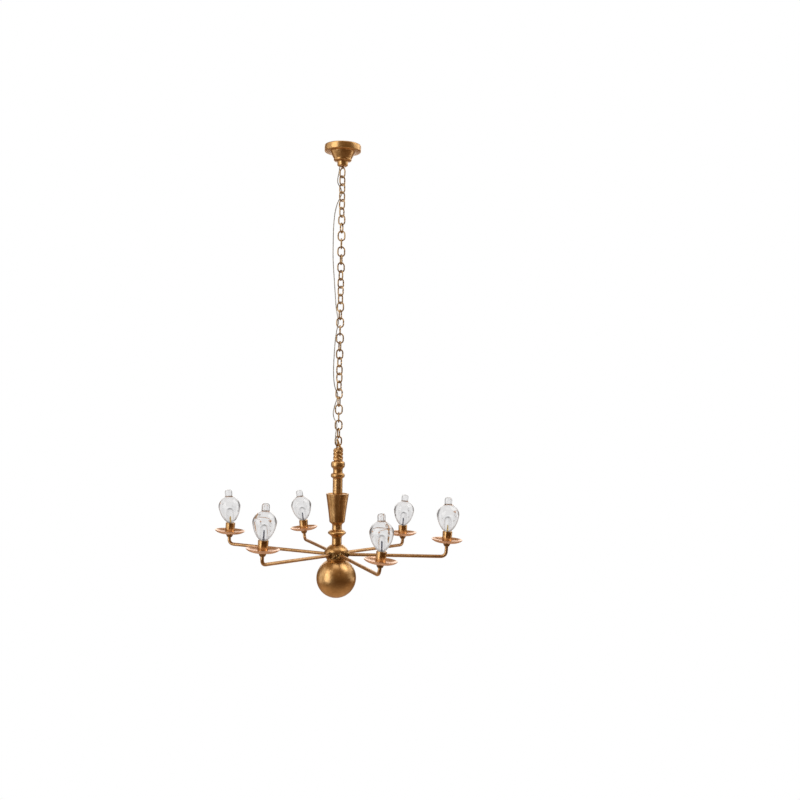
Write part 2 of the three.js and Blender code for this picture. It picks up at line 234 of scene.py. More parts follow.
def antique_brass(name, colours, grain, rough=(0.25, 0.42), grain_size=2.2, grain_depth=0.006, tarnish_and_shade=0.55,
                  mottling=1.0, edge_wear=0.55):
    """Lacquered brass: cloudy tarnishing, darker in hollows, brighter on edges, with a grain of its own. More
    tarnishing than usual stands for painted shade, as on the canopy.
    """
    base, dark, worn = colours
    shader = Shader(name)
    cloud = shader.ramp(shader.noise(0.3), 0.36, 0.7)
    mottle = shader.ramp(shader.noise(0.9 * mottling), 0.35, 0.75)
    speck = shader.ramp(shader.noise(2.6 * mottling, 2.0), 0.62, 0.75)
    edge = shader.pointiness(0.52, 0.6)
    hollow = shader.pointiness(0.49, 0.42)
    # the share of the dark colour: tarnishing, and painted shade where a part is given more of it
    tarnish_and_shade_mask = shader.times(shader.plus(cloud, shader.times(mottle, 0.45)), tarnish_and_shade, clamp=True)
    colour = shader.mix(tarnish_and_shade_mask, rgb(*base), rgb(*dark))
    colour = shader.mix(shader.times(speck, 0.3), colour, rgb(*(0.5 * c for c in dark)))
    colour = shader.mix(shader.times(hollow, 0.7), colour, rgb(*(0.4 * c for c in dark)))
    colour = shader.mix(shader.times(edge, edge_wear), colour, rgb(*worn))
    lines = shader.noise(grain_size, 3.0, grain)
    pits = shader.noise(6.0)
    height = shader.plus(shader.times(lines, 0.8), shader.times(pits, 0.2))
    return shader.finish(
        Base_Color=colour,
        Metallic=1.0,
        Roughness=shader.between(shader.times(shader.plus(mottle, lines), 0.5), *rough),
        Normal=shader.bump(height, grain_depth),
        Coat_Weight=0.15,
        Coat_Roughness=0.22,
    )


def chain_brass():
    shader = Shader("chain_brass")
    patina = shader.ramp(shader.noise(0.9, 4.0), 0.38, 0.66)
    grime = shader.ramp(shader.noise(2.6), 0.52, 0.72)
    colour = shader.mix(patina, rgb(0.62, 0.44, 0.23), rgb(0.36, 0.235, 0.12))
    colour = shader.mix(shader.times(grime, 0.55), colour, rgb(0.13, 0.09, 0.05))
    return shader.finish(
        Base_Color=colour,
        Metallic=1.0,
        Roughness=shader.between(patina, 0.2, 0.36),
        Normal=shader.bump(shader.noise(5.0, 2.0), 0.002),
        Coat_Weight=0.1,
        Coat_Roughness=0.2,
    )


def tinned_wire():
    shader = Shader("tinned_wire")
    dull = shader.ramp(shader.noise(1.3), 0.4, 0.65)
    return shader.finish(
        Base_Color=shader.mix(dull, rgb(0.52, 0.5, 0.45), rgb(0.3, 0.27, 0.23)),
        Metallic=0.8,
        Roughness=shader.between(dull, 0.34, 0.5),
        Normal=shader.bump(shader.noise(8.0, 2.0), 0.002),
    )


def solder():
    shader = Shader("solder")
    cloud = shader.ramp(shader.noise(1.1), 0.36, 0.58)
    return shader.finish(
        Base_Color=shader.mix(cloud, rgb(0.56, 0.37, 0.155), rgb(0.12, 0.07, 0.025)),
        Metallic=1.0,
        Roughness=shader.between(cloud, 0.26, 0.42),
        Normal=shader.bump(shader.noise(1.6, 2.0), 0.03),
    )


def clear_acrylic():
    """Cast clear plastic with the slow ripple that a small mould leaves. Its tint turns grey at a glancing
    angle on the steeper faces: a painted dark outline, which is painted shade at the globe's edge.
    """
    shader = Shader("clear_acrylic")
    ripple = shader.noise(0.5, 1.0, (1, 1, 0.35))
    haze = shader.ramp(shader.noise(1.2), 0.4, 0.8)
    facing = shader.add("ShaderNodeLayerWeight")
    facing.inputs["Blend"].default_value = 0.5
    _, _, rise = shader.parts(shader.add("ShaderNodeNewGeometry").outputs["True Normal"])
    upright = shader.ramp(shader.math("ABSOLUTE", rise), 0.75, 0.4)
    # painted shade: a grey outline where the steeper faces turn away at a glancing angle
    rim = shader.times(shader.ramp(facing.outputs["Facing"], 0.3, 0.85), upright)
    clear = shader.mix(haze, rgb(0.95, 0.945, 0.945), rgb(0.885, 0.88, 0.885))
    return shader.finish(
        Base_Color=shader.mix(rim, clear, rgb(0.5, 0.48, 0.49)),
        Roughness=shader.between(haze, 0.045, 0.1),
        IOR=1.49,
        Transmission_Weight=1.0,
        Normal=shader.bump(ripple, 0.12),
    )


def white_ceramic():
    shader = Shader("white_ceramic")
    stain = shader.ramp(shader.noise(1.5), 0.45, 0.75)
    return shader.finish(
        Base_Color=shader.mix(stain, rgb(0.86, 0.85, 0.83), rgb(0.7, 0.66, 0.6)),
        Roughness=shader.between(stain, 0.4, 0.6),
        Normal=shader.bump(shader.noise(4.0, 2.0), 0.01),
    )


def lamp_pin(name, light, dark):
    shader = Shader(name)
    patch = shader.ramp(shader.noise(2.0), 0.4, 0.65)
    return shader.finish(
        Base_Color=shader.mix(patch, rgb(*light), rgb(*dark)),
        Metallic=0.9,
        Roughness=shader.between(patch, 0.25, 0.4),
        Normal=shader.bump(shader.noise(6.0, 2.0), 0.004),
    )


# ---- Mesh helpers -----------------------------------------------------------------------------


def finished_piece(name, builder, material, body=None, replaces=(), turn_outwards=True):
    """Turns a bmesh drawn in millimetres into a piece in metres, and says what it rides on."""
    if turn_outwards:
        bmesh.ops.recalc_face_normals(builder, faces=builder.faces)
    mesh = bpy.data.meshes.new(name)
    builder.to_mesh(mesh)
    builder.free()
    mesh.transform(Matrix.Scale(MM, 4))
    mesh.polygons.foreach_set("use_smooth", [True] * len(mesh.polygons))
    mesh.materials.append(material)
    piece = bpy.data.objects.new(name, mesh)
    bpy.context.scene.collection.objects.link(piece)
    if body is not None:
        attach(piece, body)
    if replaces:
        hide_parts(*replaces)
    return piece


def curve(start, corner, end, steps):
    """Points of a smooth bend that leaves start towards the corner and comes to end from it."""
    parts = [k / steps for k in range(steps + 1)]
    return [(1 - t) ** 2 * start + 2 * t * (1 - t) * corner + t * t * end for t in parts]


def rounded(outline, radius, steps=3):
    """The outline with each corner inside it turned into a short curve, so that edges catch the light."""
    points = [Vector(p) for p in outline]
    result = [points[0]]
    for before, corner, after in zip(points, points[1:], points[2:]):
        cut = min(radius, 0.45 * (before - corner).length, 0.45 * (after - corner).length)
        start = corner + (before - corner).normalized() * cut
        end = corner + (after - corner).normalized() * cut
        result += curve(start, corner, end, steps)
    result.append(points[-1])
    return result


def arc(middle, wide, high, start, end, steps):
    """Points of an ellipse round (0, middle), between two angles: 0 degrees points outwards and 90 up."""
    angles = [math.radians(start + (end - start) * k / steps) for k in range(steps + 1)]
    return [(wide * math.cos(a), middle + high * math.sin(a)) for a in angles]


def fading(t, span):
    """1 at the start of the way along, down to 0 from the span on."""
    return max(0, span - t) / span


def bead(neck, crown, bottom, top, steps=14):
    """The outline of a round bead between two heights: it stands out from the radius neck to crown."""
    middle, half = (bottom + top) / 2, (top - bottom) / 2
    angles = [math.radians(-78 + 156 * k / steps) for k in range(steps + 1)]
    return [(neck + (crown - neck) * math.cos(a) ** 0.62, middle + half * math.sin(a)) for a in angles]


def add_turned(builder, outline, place=Matrix.Identity(4), segments=72):
    """Adds a piece turned about Z to the builder. The outline runs between two points of the axis."""
    rings = []
    for radius, z in outline:
        if radius < 1e-6:
            rings.append([builder.verts.new(place @ Vector((0, 0, z)))])
            continue
        angles = [2 * math.pi * k / segments for k in range(segments)]
        points = [Vector((radius * math.cos(a), radius * math.sin(a), z)) for a in angles]
        rings.append([builder.verts.new(place @ p) for p in points])
    for lower, upper in zip(rings, rings[1:]):
        for k in range(segments):
            corners = ((lower, k), (lower, k + 1), (upper, k + 1), (upper, k))
            face = dict.fromkeys(ring[index % len(ring)] for ring, index in corners)
            builder.faces.new(list(face))


def turned(name, outline, material, body, replaces=(), place=Matrix.Identity(4), segments=72):
    builder = bmesh.new()
    add_turned(builder, outline, place, segments)
    return finished_piece(name, builder, material, body, replaces)


def add_tube(builder, points, radius, sides=12, closed=False, domed=0.0):
    """Adds a tube along points. radius is a number, or a function of the way along, from 0 to 1."""
    points = [Vector(p) for p in points]
    size = radius if callable(radius) else (lambda t: radius)
    count = len(points)
    tangents = []
    for k in range(count):
        before = points[k - 1] if closed or k else points[k]
        after = points[(k + 1) % count] if closed or k < count - 1 else points[k]
        tangents.append((after - before).normalized())
    angles = [2 * math.pi * j / sides for j in range(sides)]
    normal = tangents[0].orthogonal().normalized()
    rings = []
    for k, (point, tangent) in enumerate(zip(points, tangents)):
        normal = (normal - normal.dot(tangent) * tangent).normalized()
        side = tangent.cross(normal)
        reach = size(k / (count - 1))
        around = [point + reach * (math.cos(a) * normal + math.sin(a) * side) for a in angles]
        rings.append([builder.verts.new(p) for p in around])
    pairs = list(zip(rings, rings[1:])) + ([(rings[-1], rings[0])] if closed else [])
    for lower, upper in pairs:
        for j in range(sides):
            builder.faces.new((lower[j], lower[(j + 1) % sides], upper[(j + 1) % sides], upper[j]))
    if closed:
        return
    ends = ((rings[0], points[0], -tangents[0], 0), (rings[-1], points[-1], tangents[-1], 1))
    for ring, point, outwards, way in ends:
        tip = builder.verts.new(point + outwards * domed * size(way))
        for j in range(sides):
            builder.faces.new((ring[j], ring[(j + 1) % sides], tip))


def smooth_path(points, spacing):
    """A Catmull-Rom curve through points in the plane or in space, sampled at about the spacing."""
    points = [Vector(p) for p in points]
    ends = [2 * points[0] - points[1]] + points + [2 * points[-1] - points[-2]]
    path = []
    for p0, p1, p2, p3 in zip(ends, ends[1:], ends[2:], ends[3:]):
        steps = max(2, round((p2 - p1).length / spacing))
        for k in range(steps):
            t = k / steps
            path.append(0.5 * (2 * p1 + (p2 - p0) * t + (2 * p0 - 5 * p1 + 4 * p2 - p3) * t * t
                               + (3 * p1 - p0 - 3 * p2 + p3) * t ** 3))
    path.append(points[-1])
    return path


def roughen(builder, amount, scale, seed):
    """Moves each point along its normal by smooth noise, so a hand-made blob isn't perfectly round."""
    builder.normal_update()
    for vertex in builder.verts:
        shift = noise.noise(vertex.co * scale + Vector((seed, 2 * seed, -seed)))
        vertex.co += vertex.normal * shift * amount


def turn_about_z(direction):
    """The turn that lays X along a level direction."""
    return Matrix.Rotation(math.atan2(direction[1], direction[0]), 4, "Z")


def turn_from_z(direction):
    """The turn that lays Z along a direction."""
    return Z_AXIS.rotation_difference(direction).to_matrix().to_4x4()


def node_place(node):
    """Where a piece drawn upwards from the origin goes to lie along a turned CAD node, from its lower end.

    The points of a turned piece spread alike in every direction across its axis, so the axis is the
    direction whose spread stands apart from the other two.
    """
    points = np.array([v.co for v in frame["nodes"][node].data.vertices], float) / MM
    points = np.unique(points.round(4), axis=0)
    middle = points.mean(0)
    spreads, directions = np.linalg.eigh(np.cov((points - middle).T))
    odd = 0 if spreads[1] - spreads[0] > spreads[2] - spreads[1] else 2
    along = Vector(directions[:, odd])
    along = along if along.z > 0 else -along
    lowest = ((points - middle) @ np.array(along)).min()
    return Matrix.Translation(Vector(middle) + along * lowest) @ turn_from_z(along)


# ---- Canopy -----------------------------------------------------------------------------------

SHANK_HOLE = 0.38
SHANK_HOLE_TOP = -5.15


def add_canopy(brass):
    outline = rounded([
        (0, SHANK_HOLE_TOP), (SHANK_HOLE, SHANK_HOLE_TOP), (SHANK_HOLE, -6.32), (1.12, -6.35), (1.52, -6.12),
        (1.6, -5.95), (1.6, -5.0), (1.72, -4.84), (2.4, -4.76), (2.68, -4.55), (2.7, -4.3), (2.6, -4.14),
        (2.72, -3.96), (3.66, -2.25), (3.76, -2.0), (5.25, -2.0), (5.45, -1.84), (5.45, -0.2), (5.28, 0),
        (0, 0),
    ], 0.09)
    turned("canopy_body", outline, brass, "canopy", ["canopy"], segments=112)


# ---- Chain ------------------------------------------------------------------------------------

LINK_WIRE = 0.22
LINK_END = 1.0
SEAM = 0.035  # the slit where the ends of a link's wire meet
EYE_HALF = 1.4225  # half the height of the canopy's eye, to the middle of its wire


def link_path(half_length):
    """The middle line of a link in the XZ plane, from one side of its seam round to the other."""
    top = arc(half_length - LINK_END, LINK_END, LINK_END, 0, 180, 16)
    bottom = [(-x, -z) for x, z in top]
    line = [(LINK_END, SEAM / 2)] + top + [(-LINK_END, 0)] + bottom + [(LINK_END, -SEAM / 2)]
    return [Vector((x, 0, z)) for x, z in line]


def chain_names():
    return sorted(node for node in frame["nodes"] if node.startswith("chain_link_"))


def hinge_below(body):
    """The joint on which the next piece down the chain hangs from this body."""
    return next(joint for joint in frame["joints"] if joint["parent"] == body)


def bar_z(body):
    """The height of the bar that the next piece down hangs on."""
    return hinge_below(body)["pos_m"][2] / MM


def link_place(node):
    """A link's middle and turn, and its half length: its plane holds the axis of the joint below it."""
    low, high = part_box(node)
    half = (high.z - low.z) / 2 / MM - LINK_WIRE
    middle_z = low.z / MM + LINK_WIRE + half
    return Matrix.Translation((0, 0, middle_z)) @ turn_about_z(hinge_below(node)["axis"]), half


def add_links(brass):
    """Every other link has its seam on the other side."""
    for index, node in enumerate(chain_names()):
        place, half = link_place(node)
        flip = Matrix.Rotation(math.pi * (index % 2), 4, "Y")
        builder = bmesh.new()
        add_tube(builder, [place @ flip @ p for p in link_path(half)], LINK_WIRE, sides=14, domed=0.02)
        finished_piece(f"link_{index + 1:02d}", builder, brass, node, [node])


def add_canopy_eye(brass):
    middle_z = bar_z("canopy") + EYE_HALF
    place = Matrix.Translation((0, 0, middle_z)) @ turn_about_z(hinge_below("canopy")["axis"])
    builder = bmesh.new()
    ring = link_path(EYE_HALF)[1:-1]
    add_tube(builder, [place @ p for p in ring], LINK_WIRE, sides=14, closed=True)
    top = middle_z + EYE_HALF
    shank = [(0, top - 0.1), (0.42, top - 0.02), (0.36, top + 0.2), (0.3, top + 0.45),
             (0.3, SHANK_HOLE_TOP - 0.1), (0, SHANK_HOLE_TOP - 0.05)]
    add_turned(builder, shank, segments=28)
    finished_piece("canopy_eye_ring", builder, brass, "canopy", ["canopy_eye"])


# ---- Feed wire --------------------------------------------------------------------------------

FEED_WIRE = 0.14
FEED_STEP = 0.02  # inside a length, no point of the route is nearer to its ends than this
STEM_EYE_DROP = 1.0  # from the last bar down to the middle of the stem's eye
FEED_ROUTE = [
    (-0.88, 0, -0.4), (-0.88, 0, -2.4), (-0.88, 0, -4.4), (-0.88, 0, -6.4), (-1.05, -0.25, -8.2),
    (-1.35, -0.6, -10), (-1.28, -0.58, -11.5), (-0.35, 0.35, -12.9), (-0.1, 1.05, -14.1),
    (-0.75, 1.35, -15.7), (-1.5, 1.0, -17.6), (-2.1, 0.5, -20.5), (-2.4, 0.25, -24.5),
    (-2.45, 0.15, -29), (-2.4, 0.3, -34), (-2.0, 0.7, -39.5), (-1.6, 1.1, -44.5),
    (-1.25, 1.35, -48.5), (-0.75, 1.1, -51.2), (-0.49, 0.08, -52.95), (-0.85, -1.0, -54.7),
    (-1.3, -1.1, -57.5), (-1.6, -0.85, -62), (-1.75, -0.7, -66.5), (-1.6, -0.8, -70.2),
    (-1.15, -0.6, -72.6), (-0.44, 0.2, -74.15), (-0.6, 1.05, -75.7), (-1.25, 1.15, -77.8),
    (-1.65, 1.05, -80), (-1.35, 1.2, -81.6), (-0.75, 0.85, -82.7), (-0.49, -0.07, -83.6),
    (-0.65, -0.9, -84.8), (-0.85, -1.15, -86.5), (-0.75, -1.15, -88.3), (-0.58, -0.92, -89.5),
    (-0.55, -0.85, -90.4),
]


def at_height(path, z):
    """The point where a path that goes down all the way crosses a height."""
    for above, below in zip(path, path[1:]):
        if above.z >= z >= below.z:
            return above.lerp(below, (above.z - z) / max(above.z - below.z, 1e-9))
    return path[-1]


def add_feed_wire(wire):
    """One short length for each joint, from the middle of one body's link to the middle of the next."""
    path = smooth_path(FEED_ROUTE, 0.3)
    links = chain_names()
    bodies = ["canopy"] + links + ["fixture"]
    link_middles = [link_place(node)[0].translation.z for node in links]
    middles = [bar_z("canopy") + EYE_HALF] + link_middles + [bar_z(links[-1]) - STEM_EYE_DROP]
    for index, (upper, lower) in enumerate(zip(bodies, bodies[1:])):
        start_z = path[0].z if index == 0 else middles[index]
        end_z = path[-1].z if index == len(bodies) - 2 else middles[index + 1]
        inner = [p for p in path if end_z + FEED_STEP < p.z < start_z - FEED_STEP]
        line = [at_height(path, start_z)] + inner + [at_height(path, end_z)]
        builder = bmesh.new()
        add_tube(builder, line, FEED_WIRE, sides=10)
        piece = finished_piece(f"feed_wire_{index + 1:02d}", builder, wire, None, ["feed_wire"])
        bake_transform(piece)


# ---- Stem -------------------------------------------------------------------------------------

STEM_WIRE = 0.3
STEM_EYE = 0.95  # the radius of the eye's arch, to the middle of its wire
LASHING_TOP, LASHING_BOTTOM, LASHING_RADIUS = -90.1, -94.19, 1.5
BINDING_RADIUS, BINDING_WIRE = 1.3, 0.17
LASHING_TAIL = [(-0.34, -1.05, -87.6), (-0.14, -1.0, -88.4), (0.18, -0.95, -89.3), (0.6, -0.97, -90.05),
                (0.96, -0.84, -90.75), (1.08, -0.45, -91.3), (1.0, -0.1, -91.8)]


def add_stem_eye(brass):
    """A loop of stout wire whose legs cross inside the lashing, and the lashing's core with its spigot."""
    axis = hinge_below(chain_names()[-1])["axis"]
    across, ahead = Vector((-axis[1], axis[0], 0)), Vector((axis[0], axis[1], 0))
    loop_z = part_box("stem_eye")[1].z / MM - STEM_WIRE - STEM_EYE
    arch = [across * x + Z_AXIS * z for x, z in arc(loop_z, STEM_EYE, STEM_EYE, 0, 180, 14)]
    drop = 0.75 * (LASHING_TOP - LASHING_BOTTOM)
    right_leg = [across * (STEM_EYE - 1.5 * t) + ahead * 0.55 * math.sin(math.pi * min(t * 1.4, 1))
                 + Z_AXIS * (loop_z - 0.3 - drop * t) for t in (k / 8 for k in range(1, 9))]
    left_leg = [Vector((-p.x, -p.y, p.z)) for p in right_leg]
    loop = smooth_path(right_leg[::-1] + arch + left_leg, 0.2)
    foot = LASHING_BOTTOM - 1.2
    core = [(0, foot), (0.7, foot), (0.7, LASHING_BOTTOM), (1.2, LASHING_BOTTOM), (1.2, -91.2), (0.8, -90.8),
            (0, -90.75)]
    builder = bmesh.new()
    add_tube(builder, loop, STEM_WIRE, sides=14, domed=0.4)
    add_turned(builder, rounded(core, 0.1), segments=40)
    finished_piece("stem_eye_loop", builder, brass, "fixture", ["stem_eye"])


def add_lashing(brass, strand=0.4, strands=4, lay=0.85):
    """Thick strands laid like a rope round the legs of the eye. lay is how far round each strand goes."""
    builder = bmesh.new()
    for index in range(strands):
        phase = 2 * math.pi * index / strands + 0.5
        line = []
        for t in (k / 48 for k in range(49)):
            angle = phase + lay * 2 * math.pi * t
            waver = 0.03 * math.sin(5 * angle + index)
            tuck = 0.5 * fading(t, 0.2) ** 2
            reach = LASHING_RADIUS - strand - 0.02 + waver - tuck
            z = LASHING_TOP - 0.35 + (LASHING_BOTTOM - LASHING_TOP + 0.55) * t
            line.append(Vector((reach * math.cos(angle), reach * math.sin(angle), z)))
        add_tube(builder, line, lambda t: strand * (0.7 + 0.3 * math.sin(math.pi * min(1, 7 * t) / 2)),
                 sides=14, domed=0.6)
    finished_piece("stem_lashing", builder, brass, "fixture")


def add_bindings(brass):
    """Two thinner turns round the strands: a level one at the foot and a slanting one near the top."""
    builder = bmesh.new()
    foot = (1.3, LASHING_BOTTOM + 0.16, 0.3, 0.0)
    top = (1.15, LASHING_TOP - 0.95, 0.5, 0.28)
    for turns, z, rise, slant in (foot, top):
        steps = round(44 * turns)
        line = []
        for t in (k / steps for k in range(steps + 1)):
            angle = 2 * math.pi * turns * t - 1.2
            height = z + rise * t + slant * math.cos(angle - 0.6)
            line.append(Vector((BINDING_RADIUS * math.cos(angle), BINDING_RADIUS * math.sin(angle), height)))
        add_tube(builder, line, BINDING_WIRE, sides=12, domed=0.6)
    finished_piece("stem_binding", builder, brass, "fixture")


def add_lashing_tail(brass):
    """The loose end of the lashing, thinner at its upper end, which goes up beside the last link."""
    builder = bmesh.new()
    add_tube(builder, smooth_path(LASHING_TAIL, 0.12), lambda t: 0.36 - 0.1 * fading(t, 0.2), sides=16,
             domed=0.6)
    piece = finished_piece("lashing_tail", builder, brass)
    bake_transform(piece)


SHAFT = 1.48
RING_DEPTH, RING_PITCH = 0.04, 0.45  # the fine turned rings of the column's shaft


def add_column(brass):
    rings = [(SHAFT - RING_DEPTH * (k % 2), -103.8 + RING_PITCH * k) for k in range(10)]
    shaft = [(0, -105.7), (1.0, -105.7), (1.0, -104.2), (SHAFT, -104.2)] + rings
    shaft += [(SHAFT, -99.45), (1.52, -99.3), (1.62, -99.26)]
    neck = [(1.66, -97.95), (1.47, -97.8), (1.42, -97.5), (1.42, -96.75), (1.48, -96.5), (1.64, -96.38)]
    seat = [(1.5, -94.26), (0.77, -94.24), (0.77, -95.46), (0, -95.46)]
    outline = (rounded(shaft, 0.06) + bead(1.46, 2.08, -99.22, -97.86) + rounded(neck, 0.08)
               + bead(1.44, 2.09, -96.3, -94.3) + rounded(seat, 0.06))
    turned("stem_column_body", outline, brass, "fixture", ["stem_column"], segments=96)


def add_baluster(brass):
    foot = [(0, -120.35), (0.9, -120.35), (0.9, -119.15), (1.47, -119.15), (1.48, -118.9), (1.44, -118.2),
            (1.44, -117.2), (1.52, -116.85), (1.68, -116.6)]
    knop = [(2.3, -116.12), (2.66, -115.82), (2.72, -115.58), (2.58, -115.3), (2.3, -115.05), (1.92, -114.84),
            (1.52, -114.72), (1.46, -114.3), (1.45, -113.4)]
    vase = [(1.52, -113.05), (1.92, -112.72), (2.22, -112.5), (2.3, -112.15), (2.62, -109.5), (3.2, -105.4),
            (3.4, -104.15), (3.42, -104.02), (3.3, -103.96), (2.98, -103.98), (2.9, -104.24)]
    seat = [(1.6, -104.25), (1.07, -104.25), (1.07, -105.77), (0, -105.77)]
    turned("baluster_body", rounded(foot + knop + vase + seat, 0.09), brass, "fixture",
           ["baluster"], segments=112)


# ---- Hub and ball -----------------------------------------------------------------------------

HUB_TOP = -119.2
BALL_RADIUS, BALL_MIDDLE = 5.91, -129.09
BALL_SEAT = 5.96  # the radius of the hub's dished foot
SEAT_START, SEAT_END = 0.13, 0.496  # radians, from the top of the ball


def add_hub(brass):
    bore = [(0, -122.05), (0.77, -122.05)]
    start, end = 90 - math.degrees(SEAT_START), 90 - math.degrees(SEAT_END)
    seat = arc(BALL_MIDDLE, BALL_SEAT, BALL_SEAT, start, end, 8)
    flare = [(2.9, 4.5), (3.0, 4.2), (3.12, 3.95), (3.14, 3.7), (3.36, 3.2), (3.44, 2.8), (3.44, 2.2),
             (3.42, 1.8), (3.3, 1.42), (3.05, 1.05), (2.6, 0.62), (2.2, 0.3), (1.9, 0.08), (1.6, 0)]
    socket = [(0.97, HUB_TOP), (0.97, -120.42), (0, -120.42)]
    outline = bore + seat + [(radius, HUB_TOP - below) for radius, below in flare] + socket
    turned("arm_hub_body", rounded(outline, 0.06), brass, "fixture", ["arm_hub"],
           segments=112)


def add_ball(brass):
    builder = bmesh.new()
    middle = Matrix.Translation((0, 0, BALL_MIDDLE))
    bmesh.ops.create_icosphere(builder, subdivisions=6, radius=BALL_RADIUS, matrix=middle)
    stud = [(0, -124.5), (0.7, -124.5), (0.7, -122.15), (0, -122.1)]
    add_turned(builder, rounded(stud, 0.05), segments=32)
    finished_piece("ball_body", builder, brass, "fixture", ["ball_finial"])


# ---- Arms and pans ----------------------------------------------------------------------------

ARMS = range(1, 7)
ARM_WIRE = 0.5
ARM_Z, ARM_START, ARM_MOUTH, HUB_REACH = -122.0, 2.45, 3.9, 3.44
ELBOW_BEND = 1.7
ARM_END = 0.55  # from a pan's rim down to the upper end of its arm
ARM_LEGS = (4.15, 5.13, 4.15, 4.15, 4.2, 4.42)  # from each pan's rim down to its arm's corner
PAN_RIM = 4.56
CUP_RIM_ABOVE_FOOT = 2.1  # from the lower end of a pan's collar to its rim


def cup_place(number):
    """A pan's own frame: the origin is the middle of the rim, and Z is its axis."""
    return node_place(f"candle_cup_{number}") @ Matrix.Translation((0, 0, CUP_RIM_ABOVE_FOOT))


def arm_heading(number):
    """The level direction in which an arm leaves the hub."""
    middle = cup_place(number).translation
    return Vector((middle.x, middle.y, 0)).normalized()


def add_arm(number, brass):
    place = cup_place(number)
    middle, up = place.translation, (place.to_3x3() @ Z_AXIS).normalized()
    out = arm_heading(number)
    start, mouth = out * ARM_START + Z_AXIS * ARM_Z, out * ARM_MOUTH + Z_AXIS * ARM_Z
    corner = middle - up * (ARM_LEGS[number - 1] / up.z)
    bend = curve(corner + (mouth - corner).normalized() * ELBOW_BEND, corner, corner + up * ELBOW_BEND, 12)
    straight = [mouth.lerp(bend[0], k / 24) for k in range(24)]
    leg = [bend[-1].lerp(middle - up * ARM_END, k / 8) for k in range(1, 9)]
    builder = bmesh.new()
    add_tube(builder, [start, start.lerp(mouth, 0.5)] + straight + bend + leg, ARM_WIRE, sides=18)
    finished_piece(f"arm_{number}_wire", builder, brass, "fixture", [f"arm_{number}"])


def add_cup(number, pan_metal, socket_metal, collar_shaded_metal):
    """The pan with its dished top, the collar under it and the candle socket on it."""
    under = [(0.52, -1.1), (0.66, -1.0), (0.79, -0.81), (0.88, -0.6), (0.95, -0.38), (0.99, -0.16)]
    dish = [(0.955, -0.1), (0.9, -0.27), (0.8, -0.52), (0.68, -0.7), (0.55, -0.8), (0.42, -0.85)]
    lip = [(PAN_RIM, -0.05), (PAN_RIM - 0.04, 0.0), (PAN_RIM - 0.1, -0.01)]
    pan = ([(0, -1.14), (1.3, -1.17)] + [(share * PAN_RIM, z) for share, z in under] + lip
           + [(share * PAN_RIM, z) for share, z in dish] + [(1.3, -0.86), (0, -0.86)])
    collar = [(0, -0.95), (0.58, -0.95), (0.58, -2.1), (0.7, -2.12), (0.8, -1.97), (1.02, -1.5),
              (1.12, -1.34), (1.2, -1.24), (1.2, -0.9), (0, -0.9)]
    socket = [(0, -0.88), (1.62, -0.88), (1.6, -0.8), (1.45, -0.68), (1.42, -0.5), (1.4, 0.9), (1.42, 2.0),
              (1.44, 2.16), (1.38, 2.29), (1.2, 2.29), (1.1, 2.18), (1.1, 1.2), (0, 1.2)]
    for name, outline, corner, metal, slot, segments in (
            ("pan", pan, 0.05, pan_metal, "copper_brass", 96),
            # the collar takes the darker brass: painted shade from the pan above it
            ("collar", collar, 0.05, collar_shaded_metal, "antique_brass", 48),
            ("socket", socket, 0.07, socket_metal, "antique_brass", 72)):
        turned(f"{name}_{number}", rounded(outline, corner), metal, "fixture", [f"candle_cup_{number}"],
               cup_place(number), segments)


def add_solder(number, metal):
    """The fillet of solder where an arm goes into the hub."""
    out = arm_heading(number)
    place = Matrix.Translation(out * HUB_REACH + Z_AXIS * ARM_Z) @ turn_from_z(out)
    fillet = [(0, -0.9), (0.8, -0.85), (1.05, -0.55), (1.08, -0.25), (0.9, 0.0), (0.7, 0.25), (0.56, 0.5),
              (0, 0.52)]
    builder = bmesh.new()
    add_turned(builder, rounded(fillet, 0.12, 4), place, segments=36)
    roughen(builder, 0.3, 1.5, number)
    finished_piece(f"solder_{number}", builder, metal, "fixture")


def add_solder_ring(metal):
    """The lumpy run of solder round the hub, between the arms."""
    outside = [(2.9, -123.4), (3.2, -123.2), (3.42, -122.7), (3.52, -122.2), (3.53, -121.8), (3.46, -121.35),
               (3.3, -121.0), (3.0, -120.85)]
    outline = [(0, outside[0][1])] + smooth_path(outside, 0.14) + [(0, outside[-1][1])]
    builder = bmesh.new()
    add_turned(builder, outline, segments=150)
    for vertex in builder.verts:
        across = Vector((vertex.co.x, vertex.co.y, 0))
        if across.length > 2.5:
            lump = noise.noise(vertex.co * 1.15) + 0.5 * noise.noise(vertex.co * 2.9)
            vertex.co += across.normalized() * (0.36 * lump - 0.08)
    finished_piece("solder_ring", builder, metal, "fixture")


# ---- Globes and lamps -------------------------------------------------------------------------

